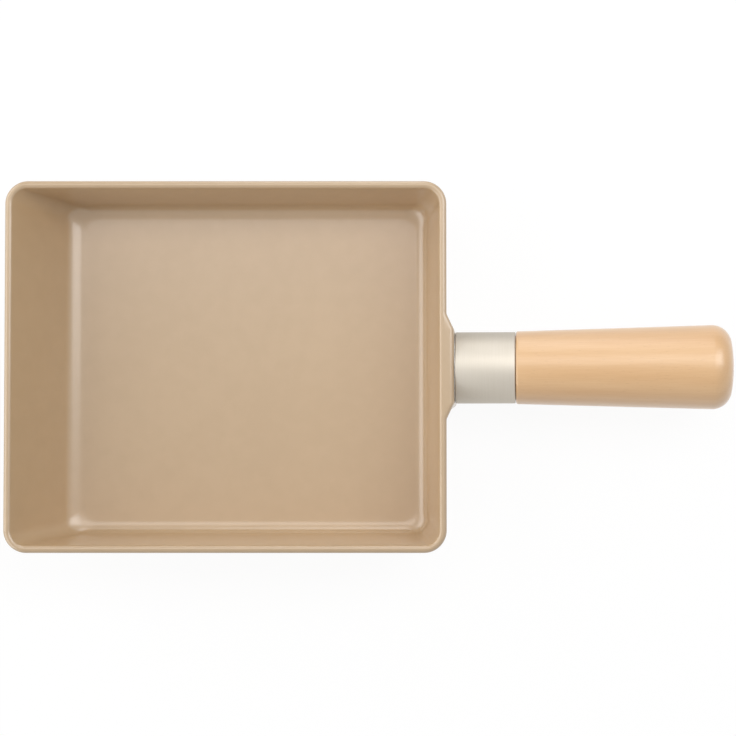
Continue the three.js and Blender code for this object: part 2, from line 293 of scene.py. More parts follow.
def round_edge(along: float, radius: float, size: float, start: float, end: float, steps: int) -> Outline:
    """Sample an arc of a turned outline.

    Args:
        along: Place of the arc's centre along the axis.
        radius: Place of the arc's centre away from the axis.
        size: Radius of the arc.
        start: First angle; 0 faces away from the axis and 90 degrees along it.
        end: Last angle.
        steps: Steps between the two.

    Returns:
        Points along and away from the axis.
    """
    angles = np.linspace(start, end, steps + 1)
    return [(along + size * math.sin(a), radius + size * math.cos(a)) for a in angles]


def rounded_rectangle(length: float, width: float, radius: float, steps: int) -> Outline:
    """Sample a rectangle with round corners, centred on the origin, anticlockwise.

    Args:
        length: Size along X.
        width: Size along Y.
        radius: Radius of the corners.
        steps: Steps in each corner.

    Returns:
        Points of the outline.
    """
    signs = ((1, -1), (1, 1), (-1, 1), (-1, -1))
    outline = []
    for corner, (sign_x, sign_y) in enumerate(signs):
        for angle in np.linspace((corner - 1) * QUARTER, corner * QUARTER, steps + 1):
            x = sign_x * (length / 2 - radius) + radius * math.cos(angle)
            y = sign_y * (width / 2 - radius) + radius * math.sin(angle)
            outline.append((x, y))
    return outline


def circle(x: float, y: float, radius: float, sides: int) -> Outline:
    """Sample a circle, anticlockwise, with the given number of sides."""
    angles = np.linspace(0, 4 * QUARTER, sides, endpoint=False)
    return [(x + radius * math.cos(a), y + radius * math.sin(a)) for a in angles]


@dataclass(frozen=True)
class HandleAxis:
    """Line that the handle's pieces are turned about, from the pad's face to the grip's end."""

    pad_face: float
    height: float
    rise: float

    def matrix(self) -> Matrix:
        """Place of the axis: its local X points out along the handle."""
        place = Matrix.Translation((self.pad_face, 0, self.height))
        return place @ Matrix.Rotation(-self.rise, 4, "Y")


class Bench:
    """Node tree of one material, with short calls for the nodes that the finishes share."""

    def __init__(self, name: str, axis: HandleAxis | None = None) -> None:
        """Start a material.

        Args:
            name: Name of the material.
            axis: Handle's axis, where the finish follows the handle and not the pan.
        """
        self.material = bpy.data.materials.new(name)
        self.material.use_nodes = True
        self.tree = self.material.node_tree
        self.shader = self.tree.nodes["Principled BSDF"]
        self.place = self.add("ShaderNodeTexCoord").outputs["Object"]
        if axis:
            level = self.add("ShaderNodeVectorRotate", rotation_type="Y_AXIS")
            self.feed(level.inputs["Vector"], self.place)
            level.inputs["Center"].default_value = (axis.pad_face, 0.0, axis.height)
            level.inputs["Angle"].default_value = axis.rise
            start = self.add("ShaderNodeVectorMath", operation="SUBTRACT")
            self.feed(start.inputs[0], level.outputs["Vector"])
            start.inputs[1].default_value = (axis.pad_face, 0.0, axis.height)
            self.place = start.outputs["Vector"]

    def add(self, kind: str, **settings: object) -> bpy.types.Node:
        """Add a node.

        Args:
            kind: Type of the node.
            settings: Properties of the node.

        Returns:
            The new node.
        """
        node = self.tree.nodes.new(kind)
        for name, value in settings.items():
            setattr(node, name, value)
        return node

    def feed(self, target: Socket, value: Socket | float | Sequence[float]) -> None:
        """Link a socket to an input, or set the input to a plain value."""
        if isinstance(value, bpy.types.NodeSocket):
            self.tree.links.new(value, target)
        else:
            target.default_value = value

    def set(self, **inputs: float | Colour) -> None:
        """Set plain values on the shader; underscores in a name stand for spaces."""
        for name, value in inputs.items():
            self.shader.inputs[name.replace("_", " ")].default_value = value

    def stretched(self, scale: Triple, shift: Triple = (0.0, 0.0, 0.0)) -> Socket:
        """Stretch and shift the piece's own coordinates.

        Args:
            scale: Fineness along X, Y and Z.
            shift: Shift along X, Y and Z, before the stretch.

        Returns:
            The stretched coordinates.
        """
        moved = self.add("ShaderNodeVectorMath", operation="ADD")
        self.feed(moved.inputs[0], self.place)
        moved.inputs[1].default_value = shift
        scaled = self.add("ShaderNodeVectorMath", operation="MULTIPLY")
        self.feed(scaled.inputs[0], moved.outputs["Vector"])
        scaled.inputs[1].default_value = scale
        return scaled.outputs["Vector"]

    def noise(self, place: Socket, scale: float, detail: float = 2.0, distortion: float = 0.0) -> Socket:
        """Add cloudy noise.

        Args:
            place: Coordinates that the noise follows.
            scale: Features in a metre.
            detail: Finer layers on top.
            distortion: How much the noise is stirred.

        Returns:
            The noise, mostly between 0.3 and 0.7.
        """
        node = self.add("ShaderNodeTexNoise")
        self.feed(node.inputs["Vector"], place)
        node.inputs["Scale"].default_value = scale
        node.inputs["Detail"].default_value = detail
        node.inputs["Distortion"].default_value = distortion
        return node.outputs["Fac"]

    def spread(self, value: Socket, start: Range, end: Range) -> Socket:
        """Carry a value from one range to another, held at its ends.

        Args:
            value: Value to carry.
            start: Range that the value comes from.
            end: Range that it goes to.

        Returns:
            The carried value.
        """
        node = self.add("ShaderNodeMapRange")
        numbers = (value, start[0], start[1], end[0], end[1])
        for target, number in zip(node.inputs, numbers):
            self.feed(target, number)
        return node.outputs["Result"]

    def sum(self, first: Socket, second: Socket | float, kind: str = "ADD") -> Socket:
        """Combine two values with a Math node of the given kind."""
        node = self.add("ShaderNodeMath", operation=kind)
        self.feed(node.inputs[0], first)
        self.feed(node.inputs[1], second)
        return node.outputs["Value"]

    def blend(self, share: Socket | float, first: Socket | Colour, second: Socket | Colour) -> Socket:
        """Mix two colours.

        Args:
            share: Share of the second colour.
            first: Colour at share 0.
            second: Colour at share 1.

        Returns:
            The mixed colour.
        """
        node = self.add("ShaderNodeMix", data_type="RGBA")
        self.feed(node.inputs["Factor"], share)
        self.feed(node.inputs[MIX_FIRST], first)
        self.feed(node.inputs[MIX_SECOND], second)
        return node.outputs[MIX_RESULT]

    def bump(self, height: Socket, depth: float, strength: float = 1.0) -> None:
        """Raise the surface by a height that is worth depth metres at 1."""
        node = self.add("ShaderNodeBump")
        node.inputs["Strength"].default_value = strength
        node.inputs["Distance"].default_value = depth
        self.feed(node.inputs["Height"], height)
        self.feed(self.shader.inputs["Normal"], node.outputs["Normal"])

    def colour(self, value: Socket) -> None:
        """Link the shader's base colour."""
        self.feed(self.shader.inputs["Base Color"], value)

    def roughness(self, value: Socket) -> None:
        """Link the shader's roughness."""
        self.feed(self.shader.inputs["Roughness"], value)


@dataclass(frozen=True)
class SatinCoating:
    """Sprayed mineral coating with a fine orange peel and faint clouds of tone, under a clear coat."""

    shade: Colour = card(196, 167, 130)
    cloud_shade: Colour = card(193, 164, 127)
    clouds: float = 22.0
    cloud_layers: float = 3.0
    mottle: float = 160.0
    tone_range: Range = (0.8, 1.2)
    peel: float = 420.0
    peel_depth: float = 0.05 * MM
    peel_strength: float = 0.03
    sheen: Range = (0.285, 0.315)
    gloss: float = 1.0
    clear_coat: float = 0.6
    coat_roughness: float = 0.2

    def material(self) -> bpy.types.Material:
        """Build the coating's material."""
        bench = Bench("satin_coating")
        clouds = bench.noise(bench.place, self.clouds, self.cloud_layers)
        mottle = bench.noise(bench.place, self.mottle)
        tone = bench.spread(bench.sum(clouds, mottle), self.tone_range, FULL_RANGE)
        bench.colour(bench.blend(tone, self.shade, self.cloud_shade))
        peel = bench.noise(bench.place, self.peel)
        bench.roughness(bench.spread(peel, NOISE_RANGE, self.sheen))
        bench.bump(peel, self.peel_depth, self.peel_strength)
        bench.set(
            Specular_IOR_Level=self.gloss, Coat_Weight=self.clear_coat, Coat_Roughness=self.coat_roughness)
        return bench.material


@dataclass(frozen=True)
class CutAluminium:
    """Bare aluminium, milled level with straight tool marks."""

    shade: Colour = card(214, 213, 210)
    mark_shade: Colour = card(190, 190, 188)
    marks: float = 2400.0
    mark_range: Range = (0.35, 0.65)
    mark_depth: float = 0.02 * MM
    mark_strength: float = 0.4
    roughness: Range = (0.3, 0.42)

    def material(self) -> bpy.types.Material:
        """Build the bare metal's material."""
        bench = Bench("cut_aluminium")
        lines = bench.noise(bench.stretched(Brushing.ALONG_X.value), self.marks)
        share = bench.spread(lines, self.mark_range, FULL_RANGE)
        bench.colour(bench.blend(share, self.shade, self.mark_shade))
        bench.roughness(bench.spread(lines, NOISE_RANGE, self.roughness))
        bench.bump(lines, self.mark_depth, self.mark_strength)
        bench.set(Metallic=1.0)
        return bench.material


@dataclass(frozen=True)
class BrushedMetal:
    """Metal with fine brush lines."""

    name: str
    shade: Colour
    line_shade: Colour
    brushing: Brushing
    fineness: float
    roughness: Range
    line_layers: float = 3.0
    line_share: float = 0.7
    line_depth: float = 0.01 * MM
    line_strength: float = 0.3
    clouds: float = 60.0
    cloud_share: float = 0.3
    tone_range: Range = (0.35, 0.65)

    def material(self, axis: HandleAxis | None = None) -> bpy.types.Material:
        """Build the metal's material.

        Args:
            axis: Handle's axis, for a piece that is turned about it.

        Returns:
            The material.
        """
        bench = Bench(self.name, axis)
        lines = bench.noise(bench.stretched(self.brushing.value), self.fineness, self.line_layers)
        clouds = bench.noise(bench.place, self.clouds)
        line_tone = bench.sum(lines, self.line_share, "MULTIPLY")
        cloud_tone = bench.sum(clouds, self.cloud_share, "MULTIPLY")
        share = bench.spread(bench.sum(line_tone, cloud_tone), self.tone_range, FULL_RANGE)
        bench.colour(bench.blend(share, self.shade, self.line_shade))
        bench.roughness(bench.spread(lines, NOISE_RANGE, self.roughness))
        bench.bump(lines, self.line_depth, self.line_strength)
        bench.set(Metallic=1.0)
        return bench.material


@dataclass(frozen=True)
class Beech:
    """Oiled beech cut along the grain: soft growth rings, fine fibres and short dark rays."""

    pale: Colour = card(233, 190, 138)
    ring: Colour = card(217, 168, 112)
    ray: Colour = card(176, 124, 82)
    pith: Triple = (0.0, 14 * MM, 62 * MM)
    rings: float = 70.0
    ring_stretch: Triple = (0.35, 1.0, 1.0)
    ring_stir: float = 2.0
    ring_layers: float = 2.0
    ring_layer_scale: float = 0.4
    ring_share: float = 0.22
    streaks: float = 110.0
    streak_stretch: Triple = (0.07, 1.0, 1.0)
    streak_share: float = 0.5
    fibres: float = 2200.0
    fibre_stretch: Triple = (0.02, 1.0, 1.0)
    fibre_layers: float = 3.0
    fibre_share: float = 0.28
    fibre_depth: float = 0.02 * MM
    fibre_strength: float = 0.2
    rays: float = 1500.0
    ray_stretch: Triple = (0.12, 1.0, 0.8)
    ray_range: Range = (0.08, 0.2)
    ray_share: float = 0.22
    roughness: Range = (0.34, 0.42)
    gloss: float = 1.0
    oil: float = 0.9
    oil_roughness: float = 0.3

    def material(self, axis: HandleAxis) -> bpy.types.Material:
        """Build the wood's material.

        Args:
            axis: Handle's axis, which the grain follows.

        Returns:
            The material.
        """
        bench = Bench("beech", axis)
        rings = bench.add("ShaderNodeTexWave", wave_type="RINGS", rings_direction="X", wave_profile="SIN")
        bench.feed(rings.inputs["Vector"], bench.stretched(self.ring_stretch, self.pith))
        rings.inputs["Scale"].default_value = self.rings
        rings.inputs["Distortion"].default_value = self.ring_stir
        rings.inputs["Detail"].default_value = self.ring_layers
        rings.inputs["Detail Scale"].default_value = self.ring_layer_scale
        streaks = bench.noise(bench.stretched(self.streak_stretch), self.streaks)
        fibres = bench.noise(bench.stretched(self.fibre_stretch), self.fibres, self.fibre_layers)
        ring_share = bench.sum(rings.outputs["Fac"], self.ring_share, "MULTIPLY")
        streak_share = bench.spread(streaks, NOISE_RANGE, (0.0, self.streak_share))
        fibre_share = bench.spread(fibres, NOISE_RANGE, (0.0, self.fibre_share))
        share = bench.sum(bench.sum(ring_share, fibre_share), streak_share)
        wood = bench.blend(share, self.pale, self.ring)
        dashes = bench.add("ShaderNodeTexVoronoi", feature="F1")
        bench.feed(dashes.inputs["Vector"], bench.stretched(self.ray_stretch))
        dashes.inputs["Scale"].default_value = self.rays
        ray_share = bench.spread(dashes.outputs["Distance"], self.ray_range, (self.ray_share, 0.0))
        bench.colour(bench.blend(ray_share, wood, self.ray))
        bench.roughness(bench.spread(fibres, NOISE_RANGE, self.roughness))
        bench.bump(fibres, self.fibre_depth, self.fibre_strength)
        bench.set(Specular_IOR_Level=self.gloss, Coat_Weight=self.oil, Coat_Roughness=self.oil_roughness)
        return bench.material


@dataclass(frozen=True)
class WallForm:
    """Lean of a wall away from upright, and the radius of its fillet to the floor."""

    draft: float
    fillet: float


@dataclass(frozen=True)
class InductionPlate:
    """Steel plate with staggered holes, pressed into the casting's underside."""

    length: float
    width: float
    thickness: float = 1.2 * MM
    corner: float = 12 * MM
    hole: float = 5 * MM
    pitch: float = 13 * MM
    hole_edge: float = 5 * MM
    burr: float = 0.12 * MM
    burr_steps: int = 2
    corner_steps: int = 12
    hole_sides: int = 32
    layout_slack: float = 0.1 * MM
    crease: float = 25.0
    finish: BrushedMetal = BrushedMetal(
        "plate_steel", shade=card(186, 185, 181), line_shade=card(160, 159, 156),
        brushing=Brushing.ALONG_X, fineness=1800.0, roughness=(0.29, 0.42))

    def holes(self) -> list[tuple[float, float]]:
        """Lay out the holes.

        Returns:
            Centres of the holes, in staggered rows that keep clear of the plate's edge and middle.
        """
        row_pitch = self.pitch * math.sin(math.pi / 3)
        reach = self.hole / 2 + self.hole_edge
        inner_x = self.length / 2 - reach
        inner_y = self.width / 2 - reach
        clear = max(self.corner - reach, 0.0)
        rows = math.ceil(inner_y / row_pitch)
        columns = math.ceil(inner_x / self.pitch)
        centres = []
        for row in range(-rows, rows + 1):
            stagger = self.pitch / 2 if row % 2 == 0 else 0.0
            for column in range(-columns, columns + 1):
                x = column * self.pitch + stagger
                y = row * row_pitch
                corner_x = max(abs(x) - inner_x + clear, 0.0)
                corner_y = max(abs(y) - inner_y + clear, 0.0)
                within = abs(x) <= inner_x and abs(y) <= inner_y
                if within and math.hypot(corner_x, corner_y) <= clear + self.layout_slack:
                    centres.append((x, y))
        return centres

    def loops(self, inset: float) -> list[Outline]:
        """Outlines of the plate and its holes, drawn into the metal.

        Args:
            inset: Distance from every edge.

        Returns:
            The plate's outline, then one for each hole.
        """
        outer = rounded_rectangle(
            self.length - 2 * inset, self.width - 2 * inset, self.corner - inset, self.corner_steps)
        return [outer, *(circle(x, y, self.hole / 2 + inset, self.hole_sides) for x, y in self.holes())]

    def build(self) -> Piece:
        """Press the plate with its holes and broken edges, and dress it."""
        skin = Skin()
        burr = self.burr
        lower_edge = round_edge(burr, -burr, burr, -QUARTER, 0, self.burr_steps)
        upper_edge = round_edge(self.thickness - burr, -burr, burr, 0, QUARTER, self.burr_steps)
        levels = []
        for z, reach in [*lower_edge, *upper_edge]:
            levels.append([skin.ring((x, y, z) for x, y in loop) for loop in self.loops(-reach)])
        for lower, upper in zip(levels, levels[1:]):
            skin.strip(lower[0], upper[0])
            for below, above in zip(lower[1:], upper[1:]):
                skin.strip(above, below)
        skin.fill(levels[0], turned_over=True)
        skin.fill(levels[-1])
        plate = skin.piece("steel_plate", self.crease)
        plate.data.materials.append(self.finish.material())
        return plate


@dataclass(frozen=True)
class PanCasting:
    """Casting with steep side walls, a sloped front wall, a bull-nosed rim and a pad for the handle."""

    rim_length: float = 180 * MM
    rim_width: float = 151.5 * MM
    rim_corner: float = 9.3 * MM
    height: float = 38 * MM
    wall: float = 3.2 * MM
    floor: float = 4.2 * MM
    floor_corner: float = 7 * MM
    side: WallForm = WallForm(math.radians(8), 5.6 * MM)
    front: WallForm = WallForm(math.radians(33), 11 * MM)
    pad_reach: float = 4 * MM
    pad_flare: float = 7.2 * MM
    pad_flare_ease: float = 0.12
    pad_edge: float = 1.8 * MM
    pad_land: float = 0.8 * MM
    pad_under_slope: float = math.radians(20)
    pad_half_width: float = 14.7 * MM
    tap_depth: float = 5 * MM
    register_length: float = 5 * MM
    register_diameter: float = 26.4 * MM
    neck_diameter: float = 13 * MM
    neck_length: float = 11.1 * MM
    tap_diameter: float = 6.6 * MM
    rod_edge: float = 0.4 * MM
    handle_rise: float = math.radians(4)
    handle_height: float = 22.5 * MM
    plate_proud: float = 0.5 * MM
    plate_margin: float = 6 * MM
    plate_seat: float = 1.5 * MM
    key_sink: float = 0.2 * MM
    key_root: float = 1 * MM
    key_edge: float = 0.15 * MM
    key_sides: int = 28
    register_sides: int = 72
    neck_sides: int = 48
    tap_sides: int = 36
    fillet_steps: int = 12
    wall_steps: int = 6
    crest_steps: int = 16
    pad_edge_steps: int = 7
    pad_flank_steps: int = 14
    corner_steps: int = 16
    floor_rings: tuple[float, ...] = (0.97, 0.85, 0.55)
    recess_inner_ring: float = 0.6
    crease: float = 40.0
    coating: SatinCoating = SatinCoating()
    bare_metal: CutAluminium = CutAluminium()

    def arc(
            self, offset: float, z: float, radius: float,
            start: float, end: float, steps: int) -> np.ndarray:
        """Sample an arc of a wall section.

        Args:
            offset: Inward place of the centre.
            z: Height of the centre.
            radius: Radius of the arc.
            start: First angle; 0 faces out of the pan and 90 degrees up.
            end: Last angle.
            steps: Steps between the two.

        Returns:
            Rows of inward offset and height.
        """
        angles = np.linspace(start, end, steps + 1)
        return np.column_stack((offset - radius * np.cos(angles), z + radius * np.sin(angles)))

    def joined(self, foot: np.ndarray, crest: np.ndarray, fillet: np.ndarray) -> np.ndarray:
        """String the arcs of a wall section together with straight stretches between them.

        Args:
            foot: Outer arc from the underside.
            crest: Arc over the rim.
            fillet: Inner arc to the floor.

        Returns:
            Rows of the whole section, from the underside to the floor.
        """
        shares = np.linspace(0, 1, self.wall_steps + 2)[1:-1, None]
        outer = foot[-1] + shares * (crest[0] - foot[-1])
        inner = crest[-1] + shares * (fillet[0] - crest[-1])
        return np.vstack((foot, outer, crest, inner, fillet))

    def arcs(self, form: WallForm) -> tuple[np.ndarray, np.ndarray, np.ndarray]:
        """Work out the three arcs of a wall section.

        Args:
            form: Lean and fillet of the wall.

        Returns:
            Foot, crest and fillet.
        """
        crest_radius = self.wall / 2
        crest_height = self.height - crest_radius
        lean = math.sin(form.draft)
        upright = math.cos(form.draft)

        def axis(z: float) -> float:
            """Inward place at which a fillet's centre meets a height."""
            return crest_radius + (form.fillet + crest_radius - (z - crest_height) * lean) / upright

        foot_height = self.plate_proud + form.fillet + self.wall
        fillet_height = self.plate_proud + self.floor + form.fillet
        foot = self.arc(
            axis(foot_height), foot_height, form.fillet + self.wall,
            -QUARTER, -form.draft, self.fillet_steps)
        crest = self.arc(
            crest_radius, crest_height, crest_radius, -form.draft, math.pi - form.draft, self.crest_steps)
        fillet = self.arc(
            axis(fillet_height), fillet_height, form.fillet, -form.draft, -QUARTER, self.fillet_steps)
        return foot, crest, fillet

    def section(self, form: WallForm) -> np.ndarray:
        """Rows of inward offset and height through one wall."""
        return self.joined(*self.arcs(form))

    def pad_section(self) -> np.ndarray:
        """Work out the section through the handle's pad.

        Returns:
            Rows of inward offset and height; the pad grows out of the foot and ends flush with the rim.
        """
        foot, crest, fillet = self.arcs(self.side)
        slope = math.tan(self.handle_rise)

        def face(z: float) -> float:
            """Outward reach of the pad's face, which is square to the rising handle."""
            return self.pad_reach - (z - self.handle_height) * slope

        land = self.handle_height - self.pad_half_width - self.pad_land
        under = self.arc(
            self.pad_edge * math.cos(self.handle_rise) - face(land),
            land - self.pad_edge * math.sin(self.handle_rise),
            self.pad_edge, self.pad_under_slope - QUARTER, self.handle_rise, self.pad_edge_steps)
        top_height = self.height - self.pad_edge
        top = self.arc(
            self.pad_edge / math.cos(self.handle_rise) - face(top_height),
            top_height, self.pad_edge, self.handle_rise, QUARTER, self.pad_edge_steps)
        kept_foot = foot[: len(foot) - len(under)]
        kept_crest = crest[len(top):]
        return self.joined(np.vstack((kept_foot, under)), np.vstack((top, kept_crest)), fillet)

    def corner_radii(self, offsets: np.ndarray) -> np.ndarray:
        """Corner radius in plan at each row of a side wall's section.

        Args:
            offsets: Inward offsets of the section.

        Returns:
            One radius for each row.
        """
        radii = self.rim_corner - offsets
        steps = self.fillet_steps + 1
        stretch = steps + self.wall_steps
        radii[:steps] = np.linspace(self.floor_corner + self.wall, self.rim_corner, steps)
        radii[-steps:] = np.linspace(self.rim_corner - self.wall, self.floor_corner, steps)
        radii[steps:stretch] = self.rim_corner
        radii[-stretch:-steps] = self.rim_corner - self.wall
        return radii

    def flat_size(self) -> tuple[float, float]:
        """Length and width of the flat underside."""
        side_foot = self.section(self.side)[0, 0]
        front_foot = self.section(self.front)[0, 0]
        return self.rim_length - front_foot - side_foot, self.rim_width - 2 * side_foot

    def rim_back(self) -> float:
        """Place of the rim's outermost line at the handle."""
        return self.flat_size()[0] / 2 + self.section(self.side)[0, 0]

    def plate(self) -> InductionPlate:
        """Steel plate that fits the flat underside."""
        length, width = self.flat_size()
        return InductionPlate(length - 2 * self.plate_margin, width - 2 * self.plate_margin)

    def handle_axis(self) -> HandleAxis:
        """Axis on which the handle stands on the pad."""
        return HandleAxis(self.rim_back() + self.pad_reach, self.handle_height, self.handle_rise)

    def pad_ramp(self, along: float) -> float:
        """Straight ramp of the pad's flank from 0 to 1, with an eased start and end."""
        ease = self.pad_flare_ease
        to_end = min(along, 1 - along)
        rise = to_end ** 2 / (2 * ease) if to_end < ease else to_end - ease / 2
        return rise / (1 - ease) if along < 0.5 else 1 - rise / (1 - ease)

    def pad_stations(self) -> list[tuple[float, float]]:
        """Places across the back wall.

        Returns:
            Pairs of a place along Y and the share of the pad that the wall holds there.
        """
        flank = []
        for along in np.linspace(0, 1, self.pad_flank_steps + 1):
            flank.append((self.pad_half_width + self.pad_flare * (1 - along), self.pad_ramp(along)))
        mirrored = [(-y, share) for y, share in flank]
        return [*mirrored, (0.0, 1.0), *flank[::-1]]

    def corner(
            self, x: float, y: float, radius: float,
            quarter: int, heights: tuple[float, float]) -> np.ndarray:
        """Sample one corner of a ring.

        Args:
            x: Place of the corner's centre along X.
            y: Place of the corner's centre along Y.
            radius: Radius of the corner.
            quarter: Quarter turn at which the corner starts.
            heights: Height at the side wall and at the front wall.

        Returns:
            Rows of places.
        """
        angles = (quarter + np.linspace(0, 1, self.corner_steps + 1)) * QUARTER
        shares = np.array([smoothstep(-math.cos(angle)) for angle in angles])
        rise = heights[0] + shares * (heights[1] - heights[0])
        return np.column_stack((x + radius * np.cos(angles), y + radius * np.sin(angles), rise))

    def rings(self) -> list[np.ndarray]:
        """Rings of the skin from the underside over the rim to the floor.

        Returns:
            Rows of places for each ring, anticlockwise from the back wall's -Y corner.
        """
        side = self.section(self.side)
        front = self.section(self.front)
        pad = self.pad_section()
        radii = self.corner_radii(side[:, 0])
        rim_back = self.rim_back()
        rim_front = rim_back - self.rim_length
        stations = self.pad_stations()
        rings = []
        for (inset, z), (front_inset, front_z), (pad_inset, pad_z), radius in zip(side, front, pad, radii):
            back_x = rim_back - inset
            back = back_x - radius
            nose = rim_front + front_inset + radius
            half = self.rim_width / 2 - inset - radius
            reach = rim_back - pad_inset
            on_pad = [(back_x + s * (reach - back_x), y, z + s * (pad_z - z)) for y, s in stations]
            heights = (z, front_z)
            rings.append(np.vstack((
                self.corner(back, -half, radius, 3, heights),
                on_pad,
                self.corner(back, half, radius, 0, heights),
                self.corner(nose, half, radius, 1, heights),
                self.corner(nose, -half, radius, 2, heights),
            )))
        return rings

    def recess_ring(self, z: float, shrink: float) -> np.ndarray:
        """Ring of the plate's recess, with as many points as the rings of the skin.

        Args:
            z: Height of the ring.
            shrink: Scale about the middle of the underside.

        Returns:
            Rows of places.
        """
        plate = self.plate()
        radius = plate.corner + FIT_GAP
        back = plate.length / 2 + FIT_GAP - radius
        half = plate.width / 2 + FIT_GAP - radius
        heights = (z, z)
        ring = np.vstack((
            self.corner(back, -half, radius, 3, heights),
            [(back + radius, y, z) for y, _ in self.pad_stations()],
            self.corner(back, half, radius, 0, heights),
            self.corner(-back, half, radius, 1, heights),
            self.corner(-back, -half, radius, 2, heights),
        ))
        ring[:, :2] *= shrink
        return ring

    def shell(self) -> Piece:
        """Loft the casting's skin, with the plate's recess in its underside."""
        skin = Skin()
        rings = self.rings()
        last = rings[-1]
        middle = (last.min(axis=0) + last.max(axis=0)) / 2
        inner = [middle + share * (last - middle) for share in self.floor_rings]
        recess = [
            self.recess_ring(self.plate_seat, self.recess_inner_ring),
            self.recess_ring(self.plate_seat, 1.0),
            self.recess_ring(self.plate_proud, 1.0),
        ]
        numbers = [skin.ring(ring) for ring in [*recess, *rings, *inner]]
        for first, second in zip(numbers, numbers[1:]):
            skin.strip(first, second)
        skin.cap(numbers[0], turned_over=True)
        skin.cap(numbers[-1])
        return skin.piece("cast_body", self.crease)

    def keys(self) -> Piece:
        """Short studs of bare metal that fill the plate's holes."""
        skin = Skin()
        plate = self.plate()
        radius = plate.hole / 2 - FIT_GAP
        levels = (
            (self.plate_seat + self.key_root, radius),
            (self.key_sink + self.key_edge, radius),
            (self.key_sink, radius - self.key_edge),
        )
        for x, y in plate.holes():
            loops = []
            for z, reach in levels:
                outline = circle(x, y, reach, self.key_sides)
                loops.append(skin.ring((px, py, z) for px, py in outline))
            skin.cap(loops[0])
            for upper, lower in zip(loops, loops[1:]):
                skin.strip(lower, upper)
            skin.cap(loops[-1], turned_over=True)
        return skin.piece("plate_keys")

    def build(self) -> Piece:
        """Build the casting with its keys, register, neck and tapped hole, and dress it."""
        body = self.shell()
        finishes = (self.coating.material(), self.bare_metal.material())
        root = -self.pad_reach / 2
        register = self.rod(
            "register", root, self.register_length, self.register_diameter, self.register_sides)
        neck = self.rod("neck", root, self.neck_length, self.neck_diameter, self.neck_sides)
        tap = self.rod("tap", -self.tap_depth, self.tap_end(), self.tap_diameter, self.tap_sides)
        tools = ((self.keys(), Cut.JOIN), (register, Cut.JOIN), (neck, Cut.JOIN), (tap, Cut.REMOVE))
        for finish in finishes:
            body.data.materials.append(finish)
        for tool, cut in tools:
            for finish in finishes:
                tool.data.materials.append(finish)
            tool.data.polygons.foreach_set("material_index", [1] * len(tool.data.polygons))
            work(body, tool, cut, self.crease)
        return body

    def tap_end(self) -> float:
        """Place at which the tapped hole's tool has cleared the neck, with its chamfer."""
        return self.neck_length + FIT_GAP + self.rod_edge

    def rod(self, name: str, start: float, end: float, diameter: float, sides: int) -> Piece:
        """Turn a plain rod on the handle's axis, with a chamfer at its far end.

        Args:
            name: Name of the rod.
            start: First place along the axis.
            end: Last place along the axis.
            diameter: Diameter of the rod.
            sides: Facets round the axis.

        Returns:
            The rod, on the handle's axis.
        """
        radius = diameter / 2
        edge = self.rod_edge
        outline = [(start, 0.0), (start, radius), (end - edge, radius), (end, radius - edge), (end, 0.0)]
        rod = turned(name, outline, sides)
        rod.data.transform(self.handle_axis().matrix())
        return rod


